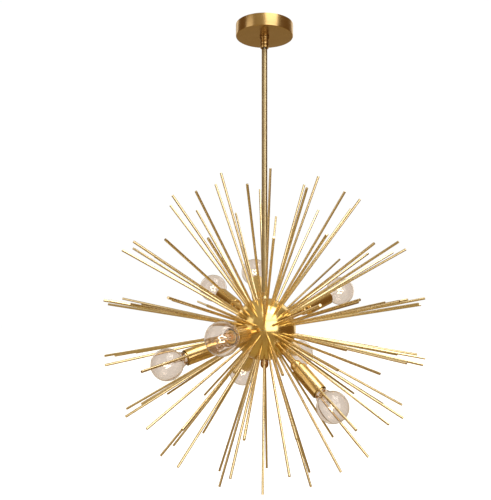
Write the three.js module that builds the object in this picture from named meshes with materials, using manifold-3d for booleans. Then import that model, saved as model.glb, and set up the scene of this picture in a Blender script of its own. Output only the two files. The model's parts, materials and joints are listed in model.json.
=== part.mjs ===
// Starburst chandelier: a hollow brass hub on a down rod, with rings of thin radial rods and
// eight lamp arms. Millimetres, +Z up, origin on the rod's axis at the ceiling.
// A bearing turns about +Z from the front (-Y) towards the right (+X); an elevation is above the horizon.

import * as THREE from 'three';
import { mergeVertices } from 'three/addons/utils/BufferGeometryUtils.js';
import Module from 'manifold-3d';

const wasm = await Module();
wasm.setup();

// ---------------------------------------------------------------- driving dimensions
const CANOPY_DIAMETER = 120;
const CANOPY_HEIGHT = 25;
const HUB_DEPTH = 639; // ceiling to hub centre
const HUB_RADIUS = 66;
const ROD_REACH = 334; // hub centre to rod tip
const ROD_DIAMETER = 5;
const DOWN_ROD_DIAMETER = 12;
const LAMP_REACH = 229; // hub centre to the middle of a lamp's globe
const GLOBE_DIAMETER = 65;
const SLEEVE_DIAMETER = 32;

// ---------------------------------------------------------------- shared small sizes
const GAP = 0.3; // between pieces that touch
const SHEET = 1.2; // spun brass
const HUB_WALL = 2.5;
const THREAD_RADIUS = 5; // hollow M10 nipples
const THREAD_BORE = 3.5;
const COLLAR_RADIUS = 9.3;
const ROD_RADIUS = ROD_DIAMETER / 2;
const DOWN_ROD_RADIUS = DOWN_ROD_DIAMETER / 2;
const CARRIER_RADIUS = 52; // the rods' inner ends, inside the hub
const CARRIER_WIDTH = 8.4;
const WIRE_RADIUS = 1.5;

const LAMP_ARMS = [
  { bearing: -145, elevation: 23 },
  { bearing: -173, elevation: 34 },
  { bearing: 126, elevation: 21 },
  { bearing: -19, elevation: -2 },
  { bearing: -58, elevation: -16 },
  { bearing: 47, elevation: -39 },
  { bearing: 157, elevation: -17 },
  { bearing: -165, elevation: -29 },
];
const ARM_CLEARANCE = 9.6; // degrees; a rod closer to an arm than this is left out

const ROD_RINGS = [
  { name: 'rods_upper_10', elevation: 10, count: 24, firstBearing: 0 },
  { name: 'rods_upper_30', elevation: 30, count: 18, firstBearing: 2 },
  { name: 'rods_upper_50', elevation: 53, count: 12, firstBearing: 21 },
  { name: 'rods_upper_70', elevation: 70, count: 6, firstBearing: 6 },
  { name: 'rods_lower_10', elevation: -10, count: 24, firstBearing: 6 },
  { name: 'rods_lower_30', elevation: -30, count: 18, firstBearing: 12 },
  { name: 'rods_lower_50', elevation: -50, count: 12, firstBearing: 12 },
  { name: 'rods_lower_70', elevation: -71, count: 6, firstBearing: 58 },
];
const ROD_LEAN = 1.2; // degrees; hand-fitted rods stand a little off their lattice

// ---------------------------------------------------------------- materials
const finish = (color, roughness, metalness) => ({ color, roughness, metalness });
const BRASS = finish(0xc79a45, 0.28, 1);
const POLISHED_BRASS = finish(0xd3a750, 0.16, 1);
const STEEL = finish(0xb9bcc0, 0.4, 1);
const PHENOLIC = finish(0x241f1c, 0.6, 0);
const GLASS = finish(0xe6d2c6, 0.08, 0);
const NYLON = finish(0xe9e4d6, 0.5, 0);
const LEAD_INSULATION = finish(0xd8d2c4, 0.5, 0);

// ---------------------------------------------------------------- geometry helpers
const rad = THREE.MathUtils.degToRad;

function direction(bearing, elevation) {
  const level = Math.cos(rad(elevation));
  return new THREE.Vector3(
    level * Math.sin(rad(bearing)),
    -level * Math.cos(rad(bearing)),
    Math.sin(rad(elevation)),
  );
}

function signedVolume(position, index) {
  const corner = [new THREE.Vector3(), new THREE.Vector3(), new THREE.Vector3()];
  let volume = 0;
  for (let i = 0; i < index.length; i += 3) {
    corner.forEach((c, k) => c.fromBufferAttribute(position, index[i + k]));
    volume += corner[0].dot(corner[1].cross(corner[2])) / 6;
  }
  return volume;
}

// One closed, welded surface with its faces pointing out.
function closed(geometry) {
  geometry.deleteAttribute('normal');
  geometry.deleteAttribute('uv');
  const welded = mergeVertices(geometry, 1e-4);
  const source = welded.index.array;
  const index = [];
  for (let i = 0; i < source.length; i += 3) {
    const [a, b, c] = [source[i], source[i + 1], source[i + 2]];
    if (a !== b && b !== c && c !== a) index.push(a, b, c);
  }
  if (signedVolume(welded.getAttribute('position'), index) < 0) index.reverse();
  welded.setIndex(index);
  return welded;
}

function toSolid(geometry) {
  const surface = closed(geometry);
  return new wasm.Manifold(new wasm.Mesh({
    numProp: 3,
    vertProperties: new Float32Array(surface.getAttribute('position').array),
    triVerts: new Uint32Array(surface.index.array),
  }));
}

function toGeometry(solid) {
  const mesh = solid.getMesh();
  const geometry = new THREE.BufferGeometry();
  geometry.setAttribute('position', new THREE.BufferAttribute(new Float32Array(mesh.vertProperties), 3));
  geometry.setIndex(Array.from(mesh.triVerts));
  return geometry;
}

// A solid turned about +Z. The profile is [radius, height] pairs; it starts and ends on the axis,
// or is closed here when it doesn't touch it.
function turned(profile, sides) {
  const loop = profile.map(([r, z]) => new THREE.Vector2(r, z));
  const onAxis = profile[0][0] === 0 && profile.at(-1)[0] === 0;
  if (!onAxis) loop.push(loop[0].clone());
  return closed(new THREE.LatheGeometry(loop, sides).rotateX(Math.PI / 2));
}

function tube(outer, inner, low, high, sides) {
  return turned([[inner, low], [outer, low], [outer, high], [inner, high]], sides);
}

// Points of an arc about (0, middle), from one polar angle to another; 0 degrees is straight up.
function arc(radius, middle, from, to, steps) {
  return Array.from({ length: steps + 1 }, (_, i) => {
    const angle = rad(from + ((to - from) * i) / steps);
    return [radius * Math.sin(angle), middle + radius * Math.cos(angle)];
  });
}

// The polar angle at which a sphere is cut by a cylinder about the same axis.
const cutAngle = (radius, sphere) => THREE.MathUtils.radToDeg(Math.asin(radius / sphere));

// A prism of the given radius along a direction, between two distances from the hub's centre.
function spoke(towards, radius, from, to, sides) {
  const geometry = new THREE.CylinderGeometry(radius, radius, to - from, sides);
  geometry.translate(0, (from + to) / 2, 0);
  geometry.applyQuaternion(new THREE.Quaternion().setFromUnitVectors(new THREE.Vector3(0, 1, 0), towards));
  return geometry;
}

function piece(name, geometry, look, parent) {
  const mesh = new THREE.Mesh(geometry, new THREE.MeshStandardMaterial(look));
  mesh.name = name;
  parent.add(mesh);
}

// ---------------------------------------------------------------- ceiling mount and canopy
const chandelier = new THREE.Group();

const STRAP_THICKNESS = 2;
const STRAP_LENGTH = 104;
const STRAP_WIDTH = 22;
const SCREW_SPACING = 83;
const SLOT_WIDTH = 4.8;
const SLOT_LENGTH = 12;
const COLLAR_BOTTOM = -CANOPY_HEIGHT - 24;
const SWIVEL_CENTRE = COLLAR_BOTTOM + 8;
const NIPPLE_BOTTOM = SWIVEL_CENTRE + 9.5;

function crossbar() {
  const outline = new THREE.Shape();
  const half = STRAP_WIDTH / 2;
  const straight = STRAP_LENGTH / 2 - half;
  outline.absarc(straight, 0, half, -Math.PI / 2, Math.PI / 2);
  outline.absarc(-straight, 0, half, Math.PI / 2, (3 * Math.PI) / 2);
  outline.holes.push(new THREE.Path().absarc(0, 0, THREAD_RADIUS + GAP, 0, 2 * Math.PI, true));
  for (const side of [-1, 1]) {
    const slot = new THREE.Path();
    const end = (SLOT_LENGTH - SLOT_WIDTH) / 2;
    const middle = (side * SCREW_SPACING) / 2;
    slot.absarc(middle + end, 0, SLOT_WIDTH / 2, -Math.PI / 2, Math.PI / 2);
    slot.absarc(middle - end, 0, SLOT_WIDTH / 2, Math.PI / 2, (3 * Math.PI) / 2);
    outline.holes.push(slot);
  }
  const strap = new THREE.ExtrudeGeometry(outline, { depth: STRAP_THICKNESS, bevelEnabled: false, curveSegments: 5 });
  return closed(strap.translate(0, 0, -STRAP_THICKNESS));
}

function boxScrew() {
  const head = -STRAP_THICKNESS - GAP;
  return turned([[0, head - 2.4], [3, head - 2.2], [3.9, head], [2, head], [2, 9], [0, 9]], 10);
}

const hexNut = (low, high) => tube(THREAD_RADIUS + 3.5, THREAD_RADIUS + GAP + 0.8, low, high, 6);

function canopyCup() {
  const outer = CANOPY_DIAMETER / 2;
  const hole = COLLAR_RADIUS + GAP;
  const bend = 1.5;
  return turned([
    [hole, -CANOPY_HEIGHT], [outer - bend, -CANOPY_HEIGHT], [outer, -CANOPY_HEIGHT + bend], [outer, 0],
    [outer - SHEET, 0], [outer - SHEET, -CANOPY_HEIGHT + bend + 0.3],
    [outer - bend - 0.3, -CANOPY_HEIGHT + SHEET], [hole, -CANOPY_HEIGHT + SHEET],
  ], 28);
}

function lockRing() {
  const top = -CANOPY_HEIGHT - GAP;
  const foot = top - 3.6;
  const inner = COLLAR_RADIUS + GAP + 0.1;
  const outer = inner + 0.9;
  return turned([
    [inner, foot], [outer - 0.4, foot], [outer, foot + 0.6], [outer, top - 0.6], [outer - 0.4, top], [inner, top],
  ], 14);
}

// The swivel: a seat that rocks in the housing, and a ball that rocks in the seat, on one centre.
const CAVITY_RADIUS = 6.9;
const SEAT_RADIUS = 6.5;
const SEAT_BORE = 5.5;
const BALL_RADIUS = 5.1;
const STEM_RADIUS = 3;
const SWIVEL_BORE = 2;
const HOUSING_SPLIT = SWIVEL_CENTRE - 0.15;
const MOUTH_RADIUS = 5.6; // leaves the stem free to lean

function swivelHousing() {
  const dome = arc(CAVITY_RADIUS, SWIVEL_CENTRE, 88, cutAngle(3, CAVITY_RADIUS), 6);
  const ledge = NIPPLE_BOTTOM - GAP;
  const top = -CANOPY_HEIGHT + 3;
  return turned([
    [COLLAR_RADIUS, HOUSING_SPLIT], [COLLAR_RADIUS, top], [THREAD_RADIUS + GAP, top],
    [THREAD_RADIUS + GAP, ledge], [3, ledge], ...dome.reverse().slice(0, -1), [CAVITY_RADIUS, HOUSING_SPLIT],
  ], 14);
}

function swivelCap() {
  const top = HOUSING_SPLIT - GAP;
  const bowl = arc(CAVITY_RADIUS, SWIVEL_CENTRE, 93.5, 135, 4);
  return turned([
    [COLLAR_RADIUS, top], ...bowl, [MOUTH_RADIUS - 0.2, COLLAR_BOTTOM + 1.6], [MOUTH_RADIUS, COLLAR_BOTTOM],
    [COLLAR_RADIUS - 0.8, COLLAR_BOTTOM], [COLLAR_RADIUS, COLLAR_BOTTOM + 0.8],
  ], 14);
}

function swivelSeat() {
  const outside = arc(SEAT_RADIUS, SWIVEL_CENTRE, 60, 120, 5);
  const inside = arc(SEAT_BORE, SWIVEL_CENTRE, 120, 60, 5);
  return turned([...outside, ...inside], 14);
}

function swivelBall() {
  const stemAngle = cutAngle(STEM_RADIUS, BALL_RADIUS);
  const ball = arc(BALL_RADIUS, SWIVEL_CENTRE, cutAngle(SWIVEL_BORE, BALL_RADIUS), 180 - stemAngle, 6);
  const stemEnd = COLLAR_BOTTOM - 12;
  return turned([...ball, [STEM_RADIUS, stemEnd], [SWIVEL_BORE, stemEnd]], 14);
}

piece('crossbar', crossbar(), STEEL, chandelier);
for (const side of [-1, 1]) {
  const at = new THREE.Group();
  at.position.x = (side * SCREW_SPACING) / 2;
  chandelier.add(at);
  piece(side < 0 ? 'box_screw_left' : 'box_screw_right', boxScrew(), STEEL, at);
}
piece('crossbar_nut', hexNut(-STRAP_THICKNESS - GAP - 4.5, -STRAP_THICKNESS - GAP), STEEL, chandelier);
piece('mount_nipple', tube(THREAD_RADIUS, THREAD_BORE, NIPPLE_BOTTOM, 2, 12), STEEL, chandelier);
piece('canopy', canopyCup(), BRASS, chandelier);
piece('lock_ring', lockRing(), BRASS, chandelier);
piece('swivel_housing', swivelHousing(), BRASS, chandelier);
piece('swivel_cap', swivelCap(), BRASS, chandelier);
piece('swivel_seat', swivelSeat(), NYLON, chandelier);
piece('swivel_ball', swivelBall(), STEEL, chandelier);

// ---------------------------------------------------------------- down rod and hub
const DOWN_ROD_TOP = COLLAR_BOTTOM - 2.5;
const COUPLING_RADIUS = 8;
const COUPLING_HEIGHT = 12;
const FINIAL_RADIUS = 8.8;
const couplingFoot = Math.sqrt(HUB_RADIUS ** 2 - COUPLING_RADIUS ** 2) + 0.6;
const couplingTop = couplingFoot + COUPLING_HEIGHT;

function downRod() {
  const foot = -HUB_DEPTH + couplingTop - 5;
  return tube(DOWN_ROD_RADIUS, 3.8, foot, DOWN_ROD_TOP, 16);
}

// Counterbored so that the down rod's foot sits in it; the hub's nipple screws into its lower half.
function hubCoupling() {
  const shoulder = couplingTop - 5 - GAP;
  return turned([
    [THREAD_RADIUS + GAP, couplingFoot], [COUPLING_RADIUS, couplingFoot],
    [COUPLING_RADIUS, couplingTop - 1], [COUPLING_RADIUS - 1, couplingTop],
    [DOWN_ROD_RADIUS + GAP, couplingTop], [DOWN_ROD_RADIUS + GAP, shoulder], [THREAD_RADIUS + GAP, shoulder],
  ], 16);
}

function finial() {
  const top = -Math.sqrt(HUB_RADIUS ** 2 - FINIAL_RADIUS ** 2) - 0.6;
  const dome = arc(FINIAL_RADIUS, top - 8, 90, 180, 4);
  return turned([
    [0, top - 5], [THREAD_RADIUS + GAP, top - 5], [THREAD_RADIUS + GAP, top], [FINIAL_RADIUS - 0.8, top],
    [FINIAL_RADIUS, top - 0.8], ...dome.slice(0, -1), [0, top - 8 - FINIAL_RADIUS],
  ], 14);
}

// The nipple that draws the two shells together, with a side hole for the lamp leads.
function hubNipple() {
  const shank = toSolid(tube(THREAD_RADIUS, THREAD_BORE, -HUB_RADIUS - 5, couplingFoot + 5, 12));
  const sideHole = toSolid(spoke(new THREE.Vector3(1, 0, 0), WIRE_RADIUS + 1, 0, 10, 8));
  return toGeometry(shank.subtract(sideHole));
}

const armDirections = LAMP_ARMS.map((arm) => direction(arm.bearing, arm.elevation));

function rodDirections(ring, ringNumber) {
  return Array.from({ length: ring.count }, (_, i) => direction(
    ring.firstBearing + (360 * i) / ring.count + ROD_LEAN * Math.sin(2.4 * i + ringNumber),
    ring.elevation + ROD_LEAN * Math.cos(3.7 * i + 2 * ringNumber),
  )).filter((rod) => armDirections.every((arm) => rod.angleTo(arm) > rad(ARM_CLEARANCE)));
}

const ringRods = ROD_RINGS.map(rodDirections);
const ROD_HOLE_RADIUS = (ROD_RADIUS + GAP) * Math.SQRT2; // half the diagonal of a square clearance hole
const ARM_TUBE_RADIUS = 6.5;
const ARM_HOLE_RADIUS = (ARM_TUBE_RADIUS + GAP) / Math.cos(Math.PI / 8);
const ARM_TUBE_START = 57;

// A hemisphere with a hole for each rod and arm that passes through it.
function hubShell(side) {
  const low = 90 - 0.13;
  const pole = cutAngle(THREAD_RADIUS + GAP, HUB_RADIUS);
  const inner = HUB_RADIUS - HUB_WALL;
  const half = turned([...arc(HUB_RADIUS, 0, pole, low, 4), ...arc(inner, 0, low, pole, 4)], 18);
  if (side < 0) half.rotateX(Math.PI);
  let shell = toSolid(half);
  const cutters = [
    ...ringRods.flat().map((rod) => spoke(rod, ROD_HOLE_RADIUS, inner - 3, HUB_RADIUS + 4, 4)),
    ...armDirections.map((arm) => spoke(arm, ARM_HOLE_RADIUS, inner - 3, HUB_RADIUS + 4, 8)),
  ];
  for (const cutter of cutters) shell = shell.subtract(toSolid(cutter));
  return toGeometry(shell);
}

// A band inside the hub that holds one ring's inner ends. Its outer faces are square to the rods.
function carrier(ring) {
  const sides = Math.max(ring.count, 12);
  const along = [Math.cos(rad(ring.elevation)), Math.sin(rad(ring.elevation))];
  const across = [-along[1], along[0]];
  const corner = (out, up) => [0, 1].map((k) => CARRIER_RADIUS * along[k] + out * along[k] + up * across[k]);
  const half = CARRIER_WIDTH / 2;
  const section = [corner(-2, -half), corner(1, -half), corner(1, half), corner(-2, half)];
  return turned(section, sides).rotateZ(rad(ring.firstBearing + 180 / sides));
}

function rodRing(ring, rods) {
  let solid = toSolid(carrier(ring));
  for (const rod of rods) solid = solid.add(toSolid(spoke(rod, ROD_RADIUS, CARRIER_RADIUS - 1, ROD_REACH, 6)));
  for (const arm of armDirections) {
    solid = solid.subtract(toSolid(spoke(arm, WIRE_RADIUS + 0.7, 40, 60, 6)));
  }
  return toGeometry(solid);
}

// Lamp leads: down the rod's bore, out through the nipple to a splice band, and along each arm.
function harness() {
  const up = new THREE.Vector3(0, 0, 1);
  const leadTop = HUB_DEPTH + COLLAR_BOTTOM - 16;
  let solid = toSolid(tube(14, 11, -9, 9, 12));
  solid = solid.add(toSolid(spoke(up, WIRE_RADIUS, -WIRE_RADIUS, leadTop, 6)));
  solid = solid.add(toSolid(spoke(new THREE.Vector3(1, 0, 0), WIRE_RADIUS, 0, 12, 6)));
  for (const arm of armDirections) {
    solid = solid.add(toSolid(spoke(arm, WIRE_RADIUS, 12, LAMPHOLDER_START - 1, 6)));
  }
  return toGeometry(solid);
}

// ---------------------------------------------------------------- lamp arms
const SLEEVE_RADIUS = SLEEVE_DIAMETER / 2;
const SLEEVE_START = 121;
const SLEEVE_END = 189;
const HUSK_START = 104;
const HUSK_RADIUS = 12;
const HOLDER_RADIUS = 14;
const LAMPHOLDER_START = 127;
const LAMPHOLDER_END = 187;
const CAP_RADIUS = 13;
const CAP_START = 163;
const CAP_END = 190;
const HOLDER_BORE = CAP_RADIUS + 0.4;
const LAMP_SIDES = 10;

const armTube = () => tube(ARM_TUBE_RADIUS, 4, ARM_TUBE_START, HUSK_START + 6, LAMP_SIDES);

// The husk screws on the arm and opens out into the sleeve that hides the lampholder.
function socketSleeve() {
  const bore = SLEEVE_RADIUS - SHEET;
  const seat = HUSK_START + 6 + GAP;
  return turned([
    [ARM_TUBE_RADIUS + GAP, HUSK_START], [HUSK_RADIUS, HUSK_START], [HUSK_RADIUS, SLEEVE_START],
    [SLEEVE_RADIUS, SLEEVE_START], [SLEEVE_RADIUS, SLEEVE_END], [bore, SLEEVE_END], [bore, SLEEVE_START + 3],
    [4, SLEEVE_START + 3], [4, seat], [ARM_TUBE_RADIUS + GAP, seat],
  ], LAMP_SIDES);
}

function lampholder() {
  const floor = CAP_START - 2;
  return turned([
    [3, LAMPHOLDER_START], [HOLDER_RADIUS, LAMPHOLDER_START], [HOLDER_RADIUS, LAMPHOLDER_END],
    [HOLDER_BORE, LAMPHOLDER_END], [HOLDER_BORE, floor], [3, floor],
  ], LAMP_SIDES);
}

// Screw cap, neck and globe, hollow and open at the tip of the cap.
function bulb() {
  const globe = GLOBE_DIAMETER / 2;
  const neck = CAP_RADIUS + 0.3;
  const inside = globe - 1;
  const outline = arc(globe, LAMP_REACH, 0, 180 - cutAngle(neck + 1.5, globe), 6);
  const lining = arc(inside, LAMP_REACH, 0, 180 - cutAngle(neck - 1, inside), 4);
  lining.reverse();
  return turned([
    ...outline, [CAP_RADIUS, CAP_END], [CAP_RADIUS, CAP_START + 4], [5, CAP_START],
    [2, CAP_START], [2, CAP_START + 5], [CAP_RADIUS - 1, CAP_START + 6], [neck - 1, CAP_END + 4], ...lining,
  ], LAMP_SIDES);
}

const hub = new THREE.Group();
hub.position.z = -HUB_DEPTH;
chandelier.add(hub);
piece('down_rod', downRod(), BRASS, chandelier);
piece('hub_coupling', hubCoupling(), BRASS, hub);
piece('hub_shell_upper', hubShell(1), POLISHED_BRASS, hub);
piece('hub_shell_lower', hubShell(-1), POLISHED_BRASS, hub);
piece('hub_nipple', hubNipple(), STEEL, hub);
piece('finial', finial(), POLISHED_BRASS, hub);
piece('lamp_leads', harness(), LEAD_INSULATION, hub);
ROD_RINGS.forEach((ring, i) => piece(ring.name, rodRing(ring, ringRods[i]), BRASS, hub));

armDirections.forEach((towards, i) => {
  const arm = new THREE.Group();
  arm.quaternion.setFromUnitVectors(new THREE.Vector3(0, 0, 1), towards);
  hub.add(arm);
  piece(`arm_tube_${i + 1}`, armTube(), BRASS, arm);
  piece(`socket_sleeve_${i + 1}`, socketSleeve(), BRASS, arm);
  piece(`lampholder_${i + 1}`, lampholder(), PHENOLIC, arm);
  piece(`bulb_${i + 1}`, bulb(), GLASS, arm);
});

export default chandelier;
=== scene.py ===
"""Looks for a brass starburst chandelier: round rods, holed hub, sleeves, glass globes and a white studio."""
import json
import math

import bmesh
import bpy
from mathutils import Matrix, Quaternion, Vector


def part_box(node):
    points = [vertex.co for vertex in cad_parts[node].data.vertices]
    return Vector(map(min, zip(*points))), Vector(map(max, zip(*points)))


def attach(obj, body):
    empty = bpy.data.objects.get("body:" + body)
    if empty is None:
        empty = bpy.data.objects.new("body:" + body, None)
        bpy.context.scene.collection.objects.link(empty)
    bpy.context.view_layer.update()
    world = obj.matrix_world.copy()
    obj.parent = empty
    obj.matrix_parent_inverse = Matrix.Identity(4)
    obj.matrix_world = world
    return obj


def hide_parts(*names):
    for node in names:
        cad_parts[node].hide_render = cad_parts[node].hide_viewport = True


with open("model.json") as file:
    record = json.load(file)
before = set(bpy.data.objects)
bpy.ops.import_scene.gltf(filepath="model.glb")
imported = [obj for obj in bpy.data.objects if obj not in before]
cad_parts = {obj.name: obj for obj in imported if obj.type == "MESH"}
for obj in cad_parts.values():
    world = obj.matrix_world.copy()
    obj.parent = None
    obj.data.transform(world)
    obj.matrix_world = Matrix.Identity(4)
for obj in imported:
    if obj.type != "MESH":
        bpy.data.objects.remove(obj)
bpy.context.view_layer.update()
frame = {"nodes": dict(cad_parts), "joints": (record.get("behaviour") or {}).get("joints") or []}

MM = 0.001

# ---------------------------------------------------------------- places and sizes from the frame
UP = Vector((0, 0, 1))
RINGS = sorted(node for node in frame["nodes"] if node.startswith("rods_"))
BULB_JOINTS = [joint for joint in frame["joints"] if joint["name"].startswith("bulb_")]
ARMS = [Vector(joint["axis"]).normalized() for joint in BULB_JOINTS]
HUB = Vector((0, 0, (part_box("hub_shell_upper")[0].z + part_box("hub_shell_lower")[1].z) / 2))


def corners(node):
    """A CAD node's vertices, measured from the hub's centre."""
    return [vertex.co - HUB for vertex in frame["nodes"][node].data.vertices]


def along(node, axis):
    """The nearest and furthest a node reaches along an axis through the hub's centre."""
    reach = [corner.dot(axis) for corner in corners(node)]
    return min(reach), max(reach)


def girth(node, axis):
    """How far a node stands off an axis through the hub's centre."""
    return max((corner - corner.dot(axis) * axis).length for corner in corners(node))


def heights(node):
    """The bottom and top of a CAD node, in millimetres above the ceiling's plane."""
    low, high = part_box(node)
    return low.z / MM, high.z / MM


def radius_of(node):
    """How far a CAD node on the down rod's axis reaches along X, in millimetres."""
    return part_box(node)[1].x / MM


HUB_RADIUS = max(corner.length for corner in corners("hub_shell_upper"))
ROD_TIP = max(corner.length for corner in corners("rods_lower_10"))
ROD_RADIUS = 2.5 * MM
ROD_START = 51 * MM
ARM_RADIUS = girth("arm_tube_1", ARMS[0])
ARM_START, ARM_END = along("arm_tube_1", ARMS[0])
SLEEVE_RADIUS = girth("socket_sleeve_1", ARMS[0])
HUSK_START, SLEEVE_END = along("socket_sleeve_1", ARMS[0])
HOLDER_RADIUS = girth("lampholder_1", ARMS[0])
HOLDER_START, HOLDER_END = along("lampholder_1", ARMS[0])
GLOBE_RADIUS = girth("bulb_1", ARMS[0])
CAP_START, GLOBE_TOP = along("bulb_1", ARMS[0])
GLOBE_CENTRE = GLOBE_TOP - GLOBE_RADIUS
COLLAR = radius_of("swivel_housing")
SWIVEL_CENTRE = next(joint["pos_m"][2] for joint in frame["joints"] if joint["name"] == "swivel_tilt_x")
THREAD_HOLE = 5.3  # the radius of a hole that takes a threaded nipple, in millimetres

TIP_SHARE = 0.99  # of the rods' reach; corners beyond it belong to the end faces
TIP_SPREAD = math.radians(1.5)  # end corners closer together than this belong to one rod


def rod_directions(node):
    """The direction of each rod of a ring, from the corners of the rods' end faces."""
    found = []
    for corner in corners(node):
        if corner.length < ROD_TIP * TIP_SHARE:
            continue
        near = next((group for group in found if group[0].angle(corner) < TIP_SPREAD), None)
        if near:
            near.append(corner)
        else:
            found.append([corner])
    return [sum(group, Vector()).normalized() for group in found]


# ---------------------------------------------------------------- node helpers for materials
NOISE_SPAN = (0.3, 0.7)  # where most of a noise texture's values lie


class Shader:
    """A material's node tree, with one call for each node."""

    def __init__(self, name):
        self.material = bpy.data.materials.new(name)
        self.material.use_nodes = True
        self.tree = self.material.node_tree
        self.surface = self.tree.nodes["Principled BSDF"]

    def node(self, kind, settings=None, **inputs):
        """Makes a node and feeds its inputs; an underscore stands for the space in an input's name."""
        made = self.tree.nodes.new("ShaderNode" + kind)
        for key, value in (settings or {}).items():
            setattr(made, key, value)
        for key, value in inputs.items():
            self.feed(made.inputs[key.replace("_", " ")], value)
        return made

    def feed(self, socket, value):
        """Links an output to the socket, or sets the socket to a plain value."""
        if isinstance(value, bpy.types.NodeSocket):
            self.tree.links.new(value, socket)
        else:
            socket.default_value = value

    def math(self, operation, *values):
        """The result of a Math node."""
        made = self.tree.nodes.new("ShaderNodeMath")
        made.operation = operation
        for socket, value in zip(made.inputs, values):
            self.feed(socket, value)
        return made.outputs[0]

    def vector(self, x, y, z):
        """A vector made of three values."""
        return self.node("CombineXYZ", X=x, Y=y, Z=z).outputs[0]

    def noise(self, vector, scale, detail=3.0, roughness=0.5):
        """The factor of a noise texture."""
        made = self.node("TexNoise", Vector=vector, Scale=scale, Detail=detail, Roughness=roughness)
        return made.outputs["Fac"]

    def between(self, factor, low, high):
        """Spreads a noise factor over the range from low to high."""
        made = self.node("MapRange", To_Min=low, To_Max=high)
        self.feed(made.inputs["Value"], factor)
        made.inputs["From Min"].default_value, made.inputs["From Max"].default_value = NOISE_SPAN
        return made.outputs["Result"]

    def blend(self, factor, first, second):
        """A colour from first to second, by a factor."""
        made = self.node("Mix", {"data_type": "RGBA"})
        self.feed(made.inputs["Factor"], factor)
        colours = [socket for socket in made.inputs if socket.type == "RGBA"]
        self.feed(colours[0], first)
        self.feed(colours[1], second)
        return next(socket for socket in made.outputs if socket.type == "RGBA")

    def bump(self, height, distance, strength=1.0):
        """The surface normal, tilted by a height."""
        return self.node("Bump", Height=height, Distance=distance, Strength=strength).outputs[0]

    def set(self, **inputs):
        """Feeds the surface shader's inputs and gives the finished material."""
        for key, value in inputs.items():
            self.feed(self.surface.inputs[key.replace("_", " ")], value)
        return self.material


def grey(value):
    """An opaque grey."""
    return (value, value, value, 1)


def local_axes(shader):
    """Object coordinates, with the radius, angle and height about the piece's own axis."""
    place = shader.node("TexCoord").outputs["Object"]
    split = shader.node("SeparateXYZ", Vector=place)
    x, y, z = split.outputs
    squared = shader.math("ADD", shader.math("MULTIPLY", x, x), shader.math("MULTIPLY", y, y))
    return place, shader.math("SQRT", squared), shader.math("ARCTAN2", y, x), z


TURNED_LINES = 2600  # noise cells a metre across the lines that a lathe leaves
DRAWN_ROUND = 9  # the radius, in noise cells, of the circle that goes once round a drawn bar
DRAWN_ALONG = 5  # noise cells a metre along a drawn bar
WEAR = 0.15  # how far a scratch takes the colour to the shade
SPECK_SHARE = 0.25  # the specks' height against the scratches'
GRAIN_STRENGTH = 0.6


def brass(name, colour, shade, roughness, grain, line_depth):
    """Brass with lacquer tone drifting from colour to shade, and fine lines turned round or drawn along."""
    shader = Shader(name)
    place, radius, angle, height = local_axes(shader)
    if grain == "turned":
        lines = shader.vector(
            shader.math("MULTIPLY", radius, TURNED_LINES),
            shader.math("MULTIPLY", height, TURNED_LINES),
            angle,
        )
    else:
        lines = shader.vector(
            shader.math("MULTIPLY", shader.math("COSINE", angle), DRAWN_ROUND),
            shader.math("MULTIPLY", shader.math("SINE", angle), DRAWN_ROUND),
            shader.math("MULTIPLY", height, DRAWN_ALONG),
        )
    scratches = shader.noise(lines, 1.0, 2.0, 0.5)
    clouds = shader.noise(place, 38.0, 4.0, 0.55)
    specks = shader.noise(place, 900.0, 2.0, 0.5)
    toned = shader.blend(shader.between(clouds, 0.0, 1.0), (*colour, 1), (*shade, 1))
    worn = shader.math("MULTIPLY", shader.between(scratches, 0.0, 1.0), WEAR)
    base = shader.blend(worn, toned, (*shade, 1))
    rough = shader.math("ADD", shader.between(scratches, roughness * 0.93, roughness * 1.07),
                        shader.between(clouds, -0.01, 0.015))
    relief = shader.math("ADD", scratches, shader.math("MULTIPLY", specks, SPECK_SHARE))
    return shader.set(Base_Color=base, Metallic=1.0, Roughness=rough,
                      Normal=shader.bump(relief, line_depth, GRAIN_STRENGTH))


def steel():
    """Zinc plated steel, with a fine cloudy grain."""
    shader = Shader("zinc_plated_steel")
    place = shader.node("TexCoord").outputs["Object"]
    grain = shader.noise(place, 1400.0, 4.0, 0.6)
    clouds = shader.noise(place, 90.0, 3.0)
    base = shader.blend(shader.between(clouds, 0.0, 1.0), (0.62, 0.63, 0.66, 1), (0.5, 0.51, 0.5, 1))
    return shader.set(Base_Color=base, Metallic=1.0, Roughness=shader.between(grain, 0.28, 0.44),
                      Normal=shader.bump(grain, 0.03 * MM, 0.5))


def moulded(name, colour, shade, roughness):
    """Moulded plastic or phenolic, with a fine pebbled skin."""
    shader = Shader(name)
    place = shader.node("TexCoord").outputs["Object"]
    pebble = shader.noise(place, 2200.0, 2.0)
    clouds = shader.noise(place, 120.0, 3.0)
    base = shader.blend(shader.between(clouds, 0.0, 1.0), (*colour, 1), (*shade, 1))
    return shader.set(Base_Color=base, Roughness=shader.between(pebble, roughness - 0.06, roughness + 0.08),
                      Normal=shader.bump(pebble, 0.04 * MM, 0.5))


GLASS_DENSITY = 400.0


def glass(name, tint, shade, depth_tint=None):
    """Lamp glass with faint waves in its wall. depth_tint also darkens light by the glass it passes."""
    shader = Shader(name)
    place = shader.node("TexCoord").outputs["Object"]
    waves = shader.noise(place, 34.0, 2.0)
    base = shader.blend(shader.between(waves, 0.0, 1.0), (*tint, 1), (*shade, 1))
    shader.set(IOR=1.46, Transmission_Weight=1.0)
    if depth_tint:
        absorbing = shader.node("VolumeAbsorption", Color=(*depth_tint, 1), Density=GLASS_DENSITY)
        shader.tree.links.new(absorbing.outputs[0], shader.tree.nodes["Material Output"].inputs["Volume"])
    return shader.set(Base_Color=base, Roughness=shader.between(waves, 0.0, 0.02),
                      Normal=shader.bump(waves, 0.25 * MM, 0.25))


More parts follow.
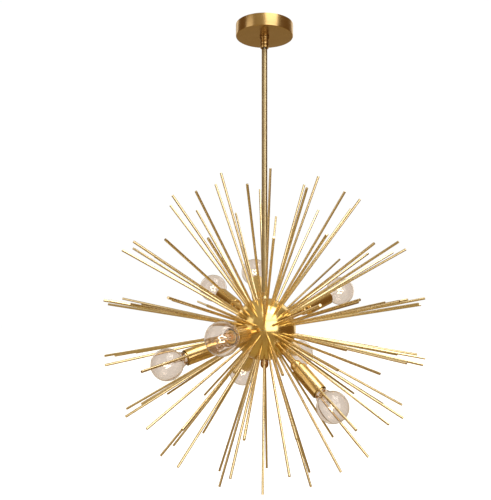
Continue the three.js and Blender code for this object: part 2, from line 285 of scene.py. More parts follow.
def filament():
    """Hot tungsten wire, with a slightly uneven glow."""
    shader = Shader("tungsten_filament")
    place = shader.node("TexCoord").outputs["Object"]
    turns = shader.noise(place, 1500.0, 2.0)
    glow = shader.blend(shader.between(turns, 0.0, 1.0), (1.0, 0.78, 0.48, 1), (1.0, 0.88, 0.62, 1))
    return shader.set(Base_Color=(0.25, 0.22, 0.2, 1), Metallic=1.0, Roughness=0.4,
                      Emission_Color=glow, Emission_Strength=6.0)


def floor_paint():
    """Pale studio floor, with a very faint mottle."""
    shader = Shader("studio_floor")
    place = shader.node("TexCoord").outputs["Object"]
    mottle = shader.noise(place, 3.0, 3.0)
    base = shader.blend(shader.between(mottle, 0.0, 1.0), grey(0.86), grey(0.84))
    return shader.set(Base_Color=base, Roughness=shader.between(mottle, 0.7, 0.8), Specular_IOR_Level=0.1)


# A darker copy of the brass: painted shade that tones down the highlights on the canopy, lock ring, collar
# and coupling.
SATIN_PAINTED_SHADE = brass("satin_brass_turned_painted_shade", (0.6, 0.41, 0.175), (0.56, 0.375, 0.155), 0.24, "turned", 0.002 * MM)
# A darker copy of the brass for the down rod: painted shade that dims its highlight.
STEM = brass("satin_brass_stem_painted_shade", (0.45, 0.36, 0.205), (0.42, 0.33, 0.18), 0.36, "drawn", 0.001 * MM)
DRAWN = brass("satin_brass_drawn", (0.86, 0.63, 0.27), (0.79, 0.55, 0.21), 0.2, "drawn", 0.002 * MM)
# A paler, creamier copy of the brass for the rods: painted light that stands in for their bright highlights.
ROD = brass("rod_brass_drawn_painted_light", (0.9, 0.75, 0.45), (0.82, 0.65, 0.36), 0.22, "drawn", 0.001 * MM)
POLISHED = brass("polished_brass", (0.88, 0.66, 0.27), (0.83, 0.59, 0.22), 0.17, "turned", 0.001 * MM)
# A reddish brass for the finial, darker than the polished brass; the darkness is painted shade.
RED_BRASS_PAINTED_SHADE = brass("finial_red_brass_painted_shade", (0.66, 0.4, 0.2), (0.58, 0.33, 0.16), 0.15, "turned", 0.001 * MM)
STEEL = steel()
PHENOLIC = moulded("black_phenolic", (0.02, 0.018, 0.016), (0.035, 0.03, 0.026), 0.5)
NYLON = moulded("natural_nylon", (0.82, 0.79, 0.7), (0.75, 0.72, 0.62), 0.45)
INSULATION = moulded("lead_insulation", (0.78, 0.72, 0.55), (0.7, 0.63, 0.44), 0.35)
GLASS = glass("clear_globe_glass", (0.94, 0.9, 0.87), (0.93, 0.88, 0.85), (0.67, 0.57, 0.42))
STEM_GLASS = glass("stem_glass", (0.86, 0.8, 0.74), (0.82, 0.75, 0.68))
FILAMENT = filament()


# ---------------------------------------------------------------- mesh helpers
def softened(outline, closed=False, steps=4):
    """The outline, in metres, of (radius, height, fillet) corners in millimetres, each one rounded."""
    points = [Vector((corner[0], corner[1])) for corner in outline]
    fillets = [corner[2] if len(corner) > 2 else 0 for corner in outline]
    made = []
    for i, (point, fillet) in enumerate(zip(points, fillets)):
        inner = closed or 0 < i < len(points) - 1
        if not fillet or not inner:
            made.append(point)
            continue
        before = points[i - 1] - point
        after = points[(i + 1) % len(points)] - point
        cut = min(fillet, before.length * 0.49, after.length * 0.49)
        first = point + before.normalized() * cut
        last = point + after.normalized() * cut
        for k in range(steps + 1):
            t = k / steps
            made.append((1 - t) ** 2 * first + 2 * t * (1 - t) * point + t ** 2 * last)
    return [(p.x * MM, p.y * MM) for p in made]


def arc(radius, middle, start, end, steps):
    """Points of an arc about (0, middle), in millimetres; 0 degrees is straight up."""
    angles = [math.radians(start + (end - start) * i / steps) for i in range(steps + 1)]
    return [(radius * math.sin(a), middle + radius * math.cos(a)) for a in angles]


def finished(bm, name, sharp_degrees=32):
    """The mesh of a bmesh, smooth but for its sharp edges."""
    bmesh.ops.recalc_face_normals(bm, faces=bm.faces)
    mesh = bpy.data.meshes.new(name)
    bm.to_mesh(mesh)
    bm.free()
    mesh.shade_smooth()
    mesh.set_sharp_from_angle(angle=math.radians(sharp_degrees))
    return mesh


def turned(name, outline, segments=64, closed=False, flute=0.0, sharp_degrees=32):
    """A surface turned about Z from (radius, height) pairs. flute cuts fine grooves along it, for a knurl."""
    bm = bmesh.new()
    rings = []
    for radius, height in outline:
        if radius < 1e-7:
            rings.append([bm.verts.new((0, 0, height))])
            continue
        ring = []
        for k in range(segments):
            turn = 2 * math.pi * k / segments
            r = radius - (flute if k % 2 else 0)
            ring.append(bm.verts.new((r * math.cos(turn), r * math.sin(turn), height)))
        rings.append(ring)
    for a, b in zip(rings, rings[1:] + (rings[:1] if closed else [])):
        for k in range(segments):
            after = (k + 1) % segments
            if len(a) == 1 and len(b) > 1:
                bm.faces.new((a[0], b[k], b[after]))
            elif len(b) == 1 and len(a) > 1:
                bm.faces.new((a[k], b[0], a[after]))
            elif len(a) > 1:
                bm.faces.new((a[k], b[k], b[after], a[after]))
    return finished(bm, name, sharp_degrees)


def wire(name, routes, radius):
    """Round wire along each route of points."""
    curve = bpy.data.curves.new(name, "CURVE")
    curve.dimensions = "3D"
    curve.bevel_depth = radius
    curve.bevel_resolution = 1
    curve.use_fill_caps = True
    for route in routes:
        spline = curve.splines.new("POLY")
        spline.points.add(len(route) - 1)
        for point, place in zip(spline.points, route):
            point.co = (*place, 1)
    return as_mesh(name, curve)


def as_mesh(name, curve):
    """The mesh that a curve makes."""
    carrier = bpy.data.objects.new(name, curve)
    bpy.context.scene.collection.objects.link(carrier)
    bpy.context.view_layer.update()
    evaluated = carrier.evaluated_get(bpy.context.evaluated_depsgraph_get())
    mesh = bpy.data.meshes.new_from_object(evaluated)
    bpy.data.objects.remove(carrier)
    mesh.name = name
    mesh.shade_smooth()
    mesh.set_sharp_from_angle(angle=math.radians(40))
    return mesh


def aimed(axis, start=HUB):
    """The placing that turns a piece's own Z to an axis, from the hub's centre unless told otherwise."""
    return Matrix.Translation(start) @ UP.rotation_difference(axis).to_matrix().to_4x4()


def put(name, mesh, material, body, node, place=None):
    """Makes a piece from a mesh and hands it to the frame, in place of a CAD node."""
    piece = bpy.data.objects.new(name, mesh)
    bpy.context.scene.collection.objects.link(piece)
    if not mesh.materials:
        mesh.materials.append(material)
    piece.matrix_world = place or Matrix.Identity(4)
    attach(piece, body)
    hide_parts(node)


def put_turned(name, outline, segments, material, body, node, closed=True, place=None):
    """Turns an outline about Z and puts the piece."""
    put(name, turned(name, outline, segments, closed=closed), material, body, node, place)


# ---------------------------------------------------------------- camera
CAMERA_DISTANCE = 1.366
CAMERA_HEIGHT = 0.058  # above the hub's centre
LENS = 46.8
SHIFT = (-0.038, 0.1032)


def make_camera():
    """A level camera in front of the hub, framed by its lens shift."""
    camera = bpy.data.objects.new("camera", bpy.data.cameras.new("camera"))
    bpy.context.scene.collection.objects.link(camera)
    camera.location = HUB + Vector((0, -CAMERA_DISTANCE, CAMERA_HEIGHT))
    camera.rotation_euler = (math.pi / 2, 0, 0)
    camera.data.lens = LENS
    camera.data.shift_x, camera.data.shift_y = SHIFT
    camera.data.clip_end = 100
    bpy.context.scene.camera = camera


make_camera()


# ---------------------------------------------------------------- studio
FLOOR_DROP = 1.9  # ceiling to floor
FLOOR_SIZE = 60.0
LIGHT_DISTANCE = 2.4
ROOM_BELOW = (0.46, 0.35, 0.16, 1)
ROOM_ABOVE = (0.5, 0.44, 0.33, 1)
ROOM_WALLS = ((0.28, (0.34, 0.25, 0.14, 1)), (0.5, (0.38, 0.28, 0.14, 1)))  # by height, from 0 to 1
ROOM_SIDES = (0.18, 0.1, 0.035, 1)
SIDES_FROM, SIDES_TO = 0.45, 0.92
BACKDROP_STRENGTH = 1.02


def softbox(name, bearing, elevation, width, height, radiance, roll=0.0):
    """An area light that faces the hub. Bearing turns from the front (-Y) towards +X."""
    light = bpy.data.lights.new(name, "AREA")
    light.shape = "RECTANGLE"
    light.size, light.size_y = width, height
    light.energy = radiance * math.pi * width * height
    lamp = bpy.data.objects.new(name, light)
    bpy.context.scene.collection.objects.link(lamp)
    b, e = math.radians(bearing), math.radians(elevation)
    away = Vector((math.cos(e) * math.sin(b), -math.cos(e) * math.cos(b), math.sin(e)))
    lamp.location = HUB + away * LIGHT_DISTANCE
    facing = away.to_track_quat("Z", "Y") @ Quaternion(UP, math.radians(roll))
    lamp.rotation_euler = facing.to_euler()
    lamp.visible_camera = False


def floor_wash():
    """Even light from overhead that whitens the floor and leaves no mark in the metal."""
    sun = bpy.data.objects.new("floor_wash", bpy.data.lights.new("floor_wash", "SUN"))
    bpy.context.scene.collection.objects.link(sun)
    sun.data.energy = 3.9
    sun.data.angle = math.radians(70)
    sun.visible_glossy = False
    sun.visible_transmission = False


def surroundings():
    """White for the camera and through glass, and a brown room, darker at the sides, for the brass."""
    world = bpy.data.worlds.new("studio")
    bpy.context.scene.world = world
    world.use_nodes = True
    tree = world.node_tree
    tree.nodes.clear()

    def node(kind, **settings):
        made = tree.nodes.new("ShaderNode" + kind)
        for key, value in settings.items():
            setattr(made, key, value)
        return made

    def join(source, target):
        tree.links.new(source, target)

    split = node("SeparateXYZ")
    join(node("TexCoord").outputs["Generated"], split.inputs[0])
    level = node("MapRange")
    level.inputs["From Min"].default_value = -1
    join(split.outputs["Z"], level.inputs["Value"])
    ramp = node("ValToRGB")
    join(level.outputs["Result"], ramp.inputs["Fac"])
    tones = ramp.color_ramp.elements
    tones[0].color = ROOM_BELOW
    tones[1].color = ROOM_ABOVE
    for height, colour in ROOM_WALLS:
        tones.new(height).color = colour
    sideways = node("Math", operation="ABSOLUTE")
    join(split.outputs["X"], sideways.inputs[0])
    aside = node("MapRange", interpolation_type="SMOOTHSTEP")
    aside.inputs["From Min"].default_value = SIDES_FROM
    aside.inputs["From Max"].default_value = SIDES_TO
    join(sideways.outputs[0], aside.inputs["Value"])
    tone = node("Mix", data_type="RGBA")
    join(aside.outputs["Result"], tone.inputs["Factor"])
    colours = [socket for socket in tone.inputs if socket.type == "RGBA"]
    join(ramp.outputs["Color"], colours[0])
    colours[1].default_value = ROOM_SIDES
    room = node("Background")
    join(next(socket for socket in tone.outputs if socket.type == "RGBA"), room.inputs["Color"])
    white = node("Background")
    white.inputs["Color"].default_value = grey(1.0)
    white.inputs["Strength"].default_value = BACKDROP_STRENGTH
    path = node("LightPath")
    seen = node("Math", operation="MAXIMUM")
    join(path.outputs["Is Camera Ray"], seen.inputs[0])
    join(path.outputs["Is Transmission Ray"], seen.inputs[1])
    mix = node("MixShader")
    join(seen.outputs[0], mix.inputs["Fac"])
    join(room.outputs[0], mix.inputs[1])
    join(white.outputs[0], mix.inputs[2])
    join(mix.outputs[0], node("OutputWorld").inputs["Surface"])


def floor():
    """The studio floor, which the metal and the glass don't see."""
    bm = bmesh.new()
    bmesh.ops.create_grid(bm, x_segments=8, y_segments=8, size=FLOOR_SIZE / 2)
    mesh = finished(bm, "studio_floor")
    mesh.materials.append(floor_paint())
    plane = bpy.data.objects.new("studio_floor", mesh)
    plane.location.z = -FLOOR_DROP
    bpy.context.scene.collection.objects.link(plane)
    plane.visible_glossy = False
    plane.visible_transmission = False


bpy.context.scene.view_settings.view_transform = "Standard"
surroundings()
floor()
floor_wash()
softbox("key_low", 26, 13.5, 1.9, 1.5, 2.6)
softbox("key_high", 28, 53, 1.7, 1.65, 2.5)
softbox("key_overhead", 64, 71, 1.3, 1.35, 3.2, roll=26)
softbox("fill_left", -60, 10, 1.1, 2.6, 1.0)
softbox("rim_right", 150, 20, 1.0, 2.2, 0.8)
softbox("rim_left", -140, 20, 0.8, 2.2, 0.8)


# ---------------------------------------------------------------- ceiling mount and canopy
# Outlines are (radius, height) pairs in millimetres; a third number is the corner's fillet.
CANOPY_SHEET = 1.2
CANOPY_GAP = 0.3  # between the canopy's hole and the collar
LOCK_RING_GAP = 0.4
KNURL_DEPTH = 0.1


def canopy():
    """A spun cup, open at the ceiling, with a hole for the collar in its bottom."""
    outer = radius_of("canopy")
    bottom, top = heights("canopy")
    sheet, hole = CANOPY_SHEET, COLLAR + CANOPY_GAP
    outline = softened([
        (hole, bottom, 0.2), (outer, bottom, 1.6), (outer, top, 0.3), (outer - sheet, top, 0.3),
        (outer - sheet, bottom + sheet, 1.2), (hole, bottom + sheet, 0.2),
    ], closed=True, steps=6)
    put_turned("canopy_cup", outline, 160, SATIN_PAINTED_SHADE, "canopy", "canopy")


def lock_ring():
    """The ring that holds the canopy up: two plain rims with a knurled grip between them."""
    outer, inner = radius_of("lock_ring"), COLLAR + LOCK_RING_GAP
    bottom, top = heights("lock_ring")
    upper_rim = softened([
        (inner, top, 0.1), (outer - 0.3, top, 0.3), (outer - 0.1, top - 1.2, 0.3), (inner, top - 1.3),
    ], closed=True)
    lower_rim = softened([
        (inner, bottom + 1.2), (outer - 0.1, bottom + 1.1, 0.3), (outer - 0.3, bottom, 0.3),
        (inner, bottom, 0.1),
    ], closed=True)
    for name, rim in (("lock_ring_rim_1", upper_rim), ("lock_ring_rim_2", lower_rim)):
        put_turned(name, rim, 96, SATIN_PAINTED_SHADE, "canopy", "lock_ring")
    grip = softened([
        (inner, top - 1.25), (outer, top - 1.25, 0.2), (outer, bottom + 1.15, 0.2), (inner, bottom + 1.15),
    ], closed=True)
    mesh = turned("lock_ring_knurl", grip, 96, closed=True, flute=KNURL_DEPTH * MM, sharp_degrees=20)
    put("lock_ring_knurl", mesh, SATIN_PAINTED_SHADE, "canopy", "lock_ring")


GROOVE_RISE = 7  # above the housing's lower edge
GROOVE_DEPTH = 0.4
SEAT_GAP = 0.25
BALL_STEM = 3.0
BALL_BORE = 2.0


def swivel():
    """The collar under the canopy, and the ball and seat inside it that let the rod hang straight."""
    bottom, top = heights("swivel_housing")
    nipple = heights("mount_nipple")[0]
    centre = SWIVEL_CENTRE / MM
    groove = bottom + GROOVE_RISE
    waist = COLLAR - GROOVE_DEPTH
    bore = radius_of("swivel_seat") + SEAT_GAP
    housing = softened([
        (COLLAR, bottom, 0.3), (COLLAR, groove, 0.2), (waist, groove + 0.3, 0.1), (waist, groove + 1.0, 0.1),
        (COLLAR, groove + 1.3, 0.2), (COLLAR, top, 0.4), (THREAD_HOLE, top), (THREAD_HOLE, nipple - 0.3),
        (3.2, nipple - 0.3), (3.6, centre + 5.8), (5.8, centre + 3.8), (bore, bottom, 0.1),
    ], closed=True)
    put_turned("swivel_housing_fine", housing, 96, SATIN_PAINTED_SHADE, "ceiling_mount", "swivel_housing")

    bottom, top = heights("swivel_cap")
    cap = softened([
        (COLLAR, top, 0.3), (bore, top), (bore - 0.3, top - 1.6), (bore - 1.0, top - 3.4),
        (5.1, centre - 4.9), (5.4, centre - 6.4), (5.6, bottom, 0.3), (COLLAR - 0.6, bottom, 0.9),
        (COLLAR, bottom + 1.6, 0.5),
    ], closed=True)
    put_turned("swivel_cap_fine", cap, 96, SATIN_PAINTED_SHADE, "ceiling_mount", "swivel_cap")

    reach = radius_of("swivel_ball")
    bottom, top = heights("swivel_ball")
    neck = math.degrees(math.asin(BALL_STEM / reach))
    ball = softened([
        (BALL_BORE, top), *arc(reach, centre, neck - 12, 180 - neck, 14), (BALL_STEM, bottom, 0.3),
        (BALL_BORE, bottom),
    ], closed=True)
    put_turned("swivel_ball_fine", ball, 64, STEEL, "swivel_ball", "swivel_ball")

    outside = radius_of("swivel_seat")
    seat = softened([*arc(outside, centre, 60, 120, 10), *arc(outside - 1, centre, 120, 60, 10)], closed=True)
    put_turned("swivel_seat_fine", seat, 64, NYLON, "swivel_seat", "swivel_seat")


STRAP_LOW, STRAP_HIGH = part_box("crossbar")
STRAP_THICKNESS = (STRAP_HIGH.z - STRAP_LOW.z) / MM
STRAP_EDGE = 0.25  # the rounding of the strap's edges
SLOT_REACH, SLOT_RADIUS = 3.6, 2.4
SMALL_HOLE, SMALL_HOLE_SHARE = 1.7, 0.55  # its radius, and its place on the way out to the slot


def stadium(centre, reach, radius, steps=16):
    """The corners of a round-ended slot along X."""
    sweep = [math.pi * (i / steps - 0.5) for i in range(steps + 1)]
    right = [(centre + reach + radius * math.cos(a), radius * math.sin(a)) for a in sweep]
    sweep = [math.pi * (i / steps + 0.5) for i in range(steps + 1)]
    left = [(centre - reach + radius * math.cos(a), radius * math.sin(a)) for a in sweep]
    return right + left


def crossbar():
    """A round-ended strap with a hole for the nipple, and a slot and a small hole on each side."""
    half_length, half_width = STRAP_HIGH.x / MM, STRAP_HIGH.y / MM
    low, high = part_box("box_screw_right")
    slot = (low.x + high.x) / 2 / MM
    loops = [
        stadium(0, half_length - half_width, half_width - STRAP_EDGE),
        stadium(0, 0, THREAD_HOLE + STRAP_EDGE),
    ]
    for side in (-1, 1):
        loops.append(stadium(side * slot, SLOT_REACH, SLOT_RADIUS + STRAP_EDGE))
        loops.append(stadium(side * slot * SMALL_HOLE_SHARE, 0, SMALL_HOLE + STRAP_EDGE))
    curve = bpy.data.curves.new("crossbar_strap", "CURVE")
    curve.dimensions = "2D"
    curve.fill_mode = "BOTH"
    curve.extrude = (STRAP_THICKNESS / 2 - STRAP_EDGE) * MM
    curve.bevel_depth = STRAP_EDGE * MM
    curve.bevel_resolution = 2
    for loop in loops:
        spline = curve.splines.new("POLY")
        spline.points.add(len(loop) - 1)
        spline.use_cyclic_u = True
        for point, (x, y) in zip(spline.points, loop):
            point.co = (x * MM, y * MM, 0, 1)
    place = Matrix.Translation((0, 0, -STRAP_THICKNESS / 2 * MM))
    strap = as_mesh("crossbar_strap", curve)
    put("crossbar_strap", strap, STEEL, "ceiling_mount", "crossbar", place)


def thread(radius, low, high, pitch, depth):
    """The outline of a threaded shank's outside, from high to low, as ridges."""
    outline = []
    z = high - pitch
    while z > low + pitch:
        outline += [(radius, z), (radius - depth, z - pitch / 2)]
        z -= pitch
    return outline


def box_screws():
    """The two threaded screws that hang the strap, each with a recess in its head."""
    under_head = -STRAP_THICKNESS - 0.3
    for side in ("left", "right"):
        node = f"box_screw_{side}"
        low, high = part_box(node)
        bottom, top = heights(node)
        shank = thread(2.05, under_head, top, 0.7, 0.35)
        outline = softened([
            (0, top), (1.5, top), *shank, (1.9, under_head), (3.9, under_head, 0.3),
            (3.3, bottom + 0.4, 0.8), (1.0, bottom, 0.2), (0.9, bottom + 1.1), (0, bottom + 1.2),
        ])
        place = Matrix.Translation(((low.x + high.x) / 2, 0, 0))
        put_turned(f"{node}_fine", outline, 32, STEEL, "ceiling_mount", node, False, place)


NUT_BORE = 6.2
NIPPLE_BORE = 3.5


def nut_and_nipple():
    """The hexagonal nut on the strap, and the threaded nipple that it holds."""
    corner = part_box("crossbar_nut")[1]
    across = max(corner.x, corner.y) / MM
    bottom, top = heights("crossbar_nut")
    nut = softened([
        (NUT_BORE, top), (across - 0.9, top), (across, top - 0.7), (across, bottom + 0.7),
        (across - 0.9, bottom), (NUT_BORE, bottom),
    ], closed=True)
    put_turned("crossbar_nut_fine", nut, 6, STEEL, "ceiling_mount", "crossbar_nut")

    bottom, top = heights("mount_nipple")
    shank = thread(5.0, bottom, top, 1.0, 0.5)
    nipple = softened([
        (NIPPLE_BORE, top), (4.4, top, 0.2), *shank, (4.4, bottom, 0.2), (NIPPLE_BORE, bottom),
    ], closed=True)
    put_turned("mount_nipple_threaded", nipple, 48, STEEL, "ceiling_mount", "mount_nipple")


# ---------------------------------------------------------------- down rod and hub
DOWN_ROD_RADIUS, DOWN_ROD_BORE = 6.0, 3.8
COUPLING_RADIUS, COUPLING_SOCKET = 8.0, 6.3


def stem():
    """The down rod, and the grooved coupling that joins it to the hub."""
    bottom, top = heights("down_rod")
    outer, bore = DOWN_ROD_RADIUS, DOWN_ROD_BORE
    shoulder = bottom - 0.3
    tube = softened([(bore, bottom), (outer, bottom, 0.3), (outer, top, 0.5), (bore, top, 0.2)], closed=True)
    put_turned("down_rod_round", tube, 64, STEM, "pendant", "down_rod")

    bottom, top = heights("hub_coupling")
    outer, socket = COUPLING_RADIUS, COUPLING_SOCKET
    coupling = softened([
        (THREAD_HOLE, bottom), (outer, bottom, 0.3), (outer, bottom + 2.2, 0.2),
        (outer - 0.5, bottom + 2.6, 0.1), (outer - 0.5, bottom + 3.2, 0.1), (outer, bottom + 3.6, 0.2),
        (outer, top - 1.4, 0.6), (6.9, top, 0.4), (socket, top, 0.1), (socket, shoulder),
        (THREAD_HOLE, shoulder),
    ], closed=True)
    put_turned("hub_coupling_fine", coupling, 96, SATIN_PAINTED_SHADE, "pendant", "hub_coupling")


def finial():
    """The small dome under the hub, with a groove below its rim."""
    outer = radius_of("finial")
    bottom, top = heights("finial")
    dome = arc(outer, bottom + outer, 92, 180, 16)
    outline = softened([
        (0, top - 5), (THREAD_HOLE, top - 5), (THREAD_HOLE, top), (outer - 0.2, top, 0.3),
        (outer - 0.2, top - 1.4, 0.2), (outer - 1.1, top - 1.8, 0.2), (outer - 1.1, top - 2.6, 0.2),
        (outer - 0.1, top - 3.0, 0.3), *dome[:-1], (0, bottom),
    ])
    put_turned("finial_dome", outline, 96, RED_BRASS_PAINTED_SHADE, "pendant", "finial", closed=False)


HUB_WALL = 2.5
HUB_POLE = 4.6  # degrees from the pole to the edge of the hole for the nipple
HUB_SEAM = 90 - 0.13  # degrees from the pole to the half shell's rim
DRILL_GAP = 0.3 * MM
DRILL_LENGTH = 14 * MM
DRILL_TURN = 0.11  # keeps a cutter's corners off the shell's own edges


def holes():
    """One mesh of round cutters for every rod and arm that passes through the hub's wall."""
    bm = bmesh.new()
    drilled = [(axis, ROD_RADIUS + DRILL_GAP, 20) for ring in RINGS for axis in rod_directions(ring)]
    drilled += [(axis, ARM_RADIUS + DRILL_GAP, 36) for axis in ARMS]
    in_the_wall = Matrix.Translation((0, 0, HUB_RADIUS))
    turn = Matrix.Rotation(DRILL_TURN, 4, "Z")
    for axis, radius, sides in drilled:
        bmesh.ops.create_cone(bm, cap_ends=True, segments=sides, radius1=radius, radius2=radius,
                              depth=DRILL_LENGTH, matrix=aimed(axis, Vector()) @ turn @ in_the_wall)
    mesh = finished(bm, "hub_drilling")
    cutter = bpy.data.objects.new("hub_drilling", mesh)
    bpy.context.scene.collection.objects.link(cutter)
    cutter.location = HUB
    return cutter


def hub_shells():
    """Two spun half shells with a drilled hole for each rod and arm."""
    outer = HUB_RADIUS / MM
    inner = outer - HUB_WALL
    points = arc(outer, 0, HUB_POLE, HUB_SEAM, 40) + arc(inner, 0, HUB_SEAM, HUB_POLE, 16)
    cutter = holes()
    for side, node in ((1, "hub_shell_upper"), (-1, "hub_shell_lower")):
        outline = [(r * MM, side * z * MM) for r, z in points]
        mesh = turned(node + "_spun", outline, 128, closed=True)
        shell = bpy.data.objects.new(node + "_spun", mesh)
        bpy.context.scene.collection.objects.link(shell)
        shell.location = HUB
        cut = shell.modifiers.new("drill", "BOOLEAN")
        cut.operation = "DIFFERENCE"
        cut.solver = "EXACT"
        cut.object = cutter
        bpy.context.view_layer.update()
        drilled = bpy.data.meshes.new_from_object(shell.evaluated_get(bpy.context.evaluated_depsgraph_get()))
        bpy.data.objects.remove(shell)
        round_normals(drilled, HUB_RADIUS)
        place = Matrix.Translation(HUB)
        put(node + "_drilled", drilled, POLISHED, "pendant", node, place)
    bpy.data.objects.remove(cutter)


def round_normals(mesh, radius):
    """Makes the outside of a drilled ball shade as a true ball, whatever its faces."""
    mesh.materials.clear()
    normals = []
    for face in mesh.polygons:
        outside = face.center.length > radius * 0.995 and face.normal.dot(face.center) > 0
        for index in face.vertices:
            here = mesh.vertices[index].co
            normals.append(here.normalized() if outside else face.normal.copy())
    mesh.normals_split_custom_set(normals)


BAND_INNER, BAND_OUTER, BAND_HALF = 50.2, 53, 4.2


def rods():
    """Round bars with softened ends, and the band inside the hub that holds each ring."""
    start, end, thick = ROD_START / MM, ROD_TIP / MM, ROD_RADIUS / MM
    bar = softened([(0, start), (thick - 0.3, start), (thick, start + 0.3), (thick, end, 0.35), (0, end)])
    mesh = turned("rod_bar", bar, 20)
    section = [
        (BAND_INNER, -BAND_HALF), (BAND_OUTER, -BAND_HALF), (BAND_OUTER, BAND_HALF), (BAND_INNER, BAND_HALF),
    ]
    for ring in RINGS:
        directions = rod_directions(ring)
        for k, axis in enumerate(directions):
            put(f"{ring}_bar_{k + 1}", mesh, ROD, "pendant", ring, aimed(axis))
        slope = math.asin(sum(axis.z for axis in directions) / len(directions))
        out, up = math.cos(slope), math.sin(slope)
        band = softened([(r * out - z * up, r * up + z * out, 0.4) for r, z in section], closed=True)
        place = Matrix.Translation(HUB)
        put_turned(ring + "_band", band, 96, ROD, "pendant", ring, place=place)


# ---------------------------------------------------------------- lamp arms
# Heights here are distances along the arm from the hub's centre, in millimetres.
HUSK_RADIUS = 12.0
HUSK_LENGTH = 17
SLEEVE_WALL = 1.2
ARM_BORE = 4
WASHER_BORE = 4.2
WELL_RADIUS, WELL_FLOOR = 13.4, 161  # the lampholder's well for the cap
NECK_END = 190.5  # where the globe's neck meets the cap
GLASS_WALL = 0.8


def arm_meshes():
    """The meshes that every lamp arm shares, each with its own Z along the arm from the hub's centre."""
    arm, sleeve, holder = ARM_RADIUS / MM, SLEEVE_RADIUS / MM, HOLDER_RADIUS / MM
    start, end = ARM_START / MM, ARM_END / MM
    husk, mouth = HUSK_START / MM, SLEEVE_END / MM
    base, bore = husk + HUSK_LENGTH, sleeve - SLEEVE_WALL
    tube = softened([(ARM_BORE, start), (arm, start, 0.3), (arm, end, 0.3), (ARM_BORE, end)], closed=True)
    shell = softened([
        (arm + 0.3, husk, 0.1), (arm + 2.2, husk, 0.5), (arm + 2.2, husk + 2.4, 0.4), (11.2, husk + 3.4, 0.5),
        (HUSK_RADIUS, husk + 5.5, 1.2), (HUSK_RADIUS, base - 3.4, 0.8), (11.0, base - 2.6, 0.3),
        (11.0, base - 1.2, 0.3), (12.4, base, 0.4), (bore, base, 0.8), (sleeve, base + 1.6, 1.4),
        (sleeve, mouth, 0.45), (bore, mouth, 0.3), (bore, base + 3, 0.5), (WASHER_BORE, base + 3),
        (WASHER_BORE, end + 0.4), (arm + 0.3, end + 0.4),
    ], closed=True)
    low, high = HOLDER_START / MM, HOLDER_END / MM
    body = softened([
        (3, low), (holder, low, 0.8), (holder, high, 0.6), (WELL_RADIUS, high, 0.4),
        (WELL_RADIUS, WELL_FLOOR, 0.5), (3, WELL_FLOOR),
    ], closed=True)
    return {
        "arm_tube": turned("arm_tube_round", tube, 48, closed=True),
        "socket_sleeve": turned("socket_sleeve_fine", shell, 96, closed=True),
        "lampholder": turned("lampholder_fine", body, 64, closed=True),
    }


def globe_glass():
    """A blown globe and its neck, with a thin wall."""
    radius, middle = GLOBE_RADIUS / MM, GLOBE_CENTRE / MM
    neck = [(15.6, NECK_END + 8.7, 4), (13.8, NECK_END + 3, 2), (13.2, NECK_END)]
    inside = [
        (13.2 - GLASS_WALL, NECK_END), (13.8 - GLASS_WALL, NECK_END + 3.3, 2),
        (15.6 - GLASS_WALL, NECK_END + 9.1, 4),
    ]
    outside = arc(radius, middle, 0, 146, 34)
    lining = arc(radius - GLASS_WALL, middle, 146, 0, 30)
    outline = softened([*outside, *neck, *inside, *lining], steps=6)
    return turned("globe_glass", outline, 72, sharp_degrees=60)


CAP_THREAD_RADIUS, CAP_THREAD_DEPTH = 12.35, 0.55
CAP_TURNS, CAP_PITCH = 4, 3.6
CAP_STEPS = 8  # outline points for each turn of the thread


def lamp_cap():
    """The screw cap: a tip contact, a rolled thread and a rim round the globe's neck."""
    low = CAP_START / MM
    outline = [(0, low + 1.2), (4.6, low + 1.2), (5.2, low + 2.2), (10.4, low + 4.4)]
    for k in range(CAP_TURNS * CAP_STEPS + 1):
        wave = CAP_THREAD_DEPTH * math.cos(2 * math.pi * k / CAP_STEPS)
        outline.append((CAP_THREAD_RADIUS + wave, low + 5.2 + k * CAP_PITCH / CAP_STEPS))
    outline += [
        (12.9, low + 21), (13.4, NECK_END - 0.3), (13.4, NECK_END + 1), (12.6, NECK_END + 1.6),
        (12.2, NECK_END + 0.5), (12.2, low + 21), (0, low + 21),
    ]
    return turned("lamp_cap", [(r * MM, z * MM) for r, z in outline], 64, sharp_degrees=50)


def lamp_stem():
    """The glass stem: a flared foot that narrows to the pinch which holds the leads."""
    foot = NECK_END - 2.5
    outline = softened([
        (0, foot), (9.4, foot, 0.8), (7.0, foot + 4, 2), (3.8, foot + 9, 2), (2.8, foot + 18, 1.5),
        (2.7, foot + 25, 0.8), (1.4, foot + 27, 0.8), (0, foot + 27.4),
    ], steps=6)
    return turned("lamp_stem", outline, 32, sharp_degrees=60)


HOOKS = 8
HOOK_SPREAD = 6.0
HOOK_RISE = 5  # of the hooks' tips above and below the globe's centre
COIL_TURNS = 16  # between one hook and the next
COIL_STEPS = 6
COIL_RADIUS = 0.42 * MM


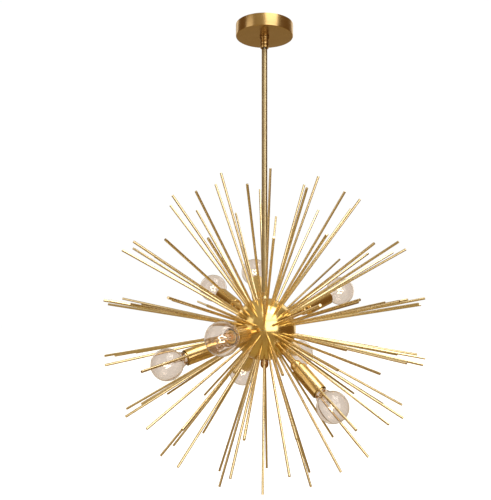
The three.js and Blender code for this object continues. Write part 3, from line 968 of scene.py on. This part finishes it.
def lamp_wires():
    """A centre rod and eight hooks, by turns low and high, that hold the filament in a zigzag ring."""
    middle = GLOBE_CENTRE / MM
    high, low = middle + HOOK_RISE, middle - HOOK_RISE
    pinch = NECK_END + 23.5
    tips = []
    routes = []
    for k in range(HOOKS):
        turn = 2 * math.pi * k / HOOKS
        level = high if k % 2 else low
        tip = Vector((HOOK_SPREAD * math.cos(turn), HOOK_SPREAD * math.sin(turn), level)) * MM
        tips.append(tip)
        start = high - 1 if k % 2 else pinch
        root = Vector((1.2 * math.cos(turn), 1.2 * math.sin(turn), start)) * MM
        routes.append([root, (root + tip) / 2 + Vector((0, 0, 0.8 * MM)), tip])
    rod = [Vector((0, 0, pinch - 2)) * MM, Vector((0, 0, high)) * MM]
    return wire("lamp_supports", routes + [rod], 0.25 * MM), tips


def lamp_filament(tips):
    """A coiled wire hung from hook to hook."""
    coil = []
    points = COIL_TURNS * COIL_STEPS
    for start, end in zip(tips, tips[1:]):
        run = end - start
        side = run.cross(UP).normalized()
        over = side.cross(run).normalized()
        for k in range(points):
            t = k / points
            phase = 2 * math.pi * COIL_TURNS * t
            swing = side * math.cos(phase) + over * math.sin(phase)
            coil.append(start + run * t + swing * COIL_RADIUS)
    return wire("lamp_filament", [coil], 0.16 * MM)


def lamps():
    """Eight arms, each with a sleeve, a lampholder and a globe bulb."""
    support_mesh, tips = lamp_wires()
    arm_parts = arm_meshes()
    arm_looks = {
        "arm_tube": (DRAWN, "satin_brass"),
        "socket_sleeve": (DRAWN, "satin_brass"),
        "lampholder": (PHENOLIC, "phenolic"),
    }
    bulb_parts = {
        "globe": (globe_glass(), GLASS, "clear_glass"),
        "cap": (lamp_cap(), DRAWN, "satin_brass"),
        "stem": (lamp_stem(), STEM_GLASS, "clear_glass"),
        "supports": (support_mesh, STEEL, "steel"),
        "filament": (lamp_filament(tips), FILAMENT, "steel"),
    }
    for number, axis in enumerate(ARMS, 1):
        place = aimed(axis)
        for part, (look, slot) in arm_looks.items():
            node = f"{part}_{number}"
            put(f"{node}_fine", arm_parts[part], look, "pendant", node, place)
        bulb = f"bulb_{number}"
        for part, (mesh, look, slot) in bulb_parts.items():
            put(f"{bulb}_{part}", mesh, look, bulb, bulb, place)


def carried_over():
    """CAD nodes that stay as they are, hidden inside the hub, get their finishes."""
    for node, look in (("hub_nipple", STEEL), ("lamp_leads", INSULATION)):
        part = frame["nodes"][node]
        part.data.materials.clear()
        part.data.materials.append(look)


canopy()
lock_ring()
swivel()
crossbar()
box_screws()
nut_and_nipple()
stem()
finial()
hub_shells()
rods()
lamps()
carried_over()
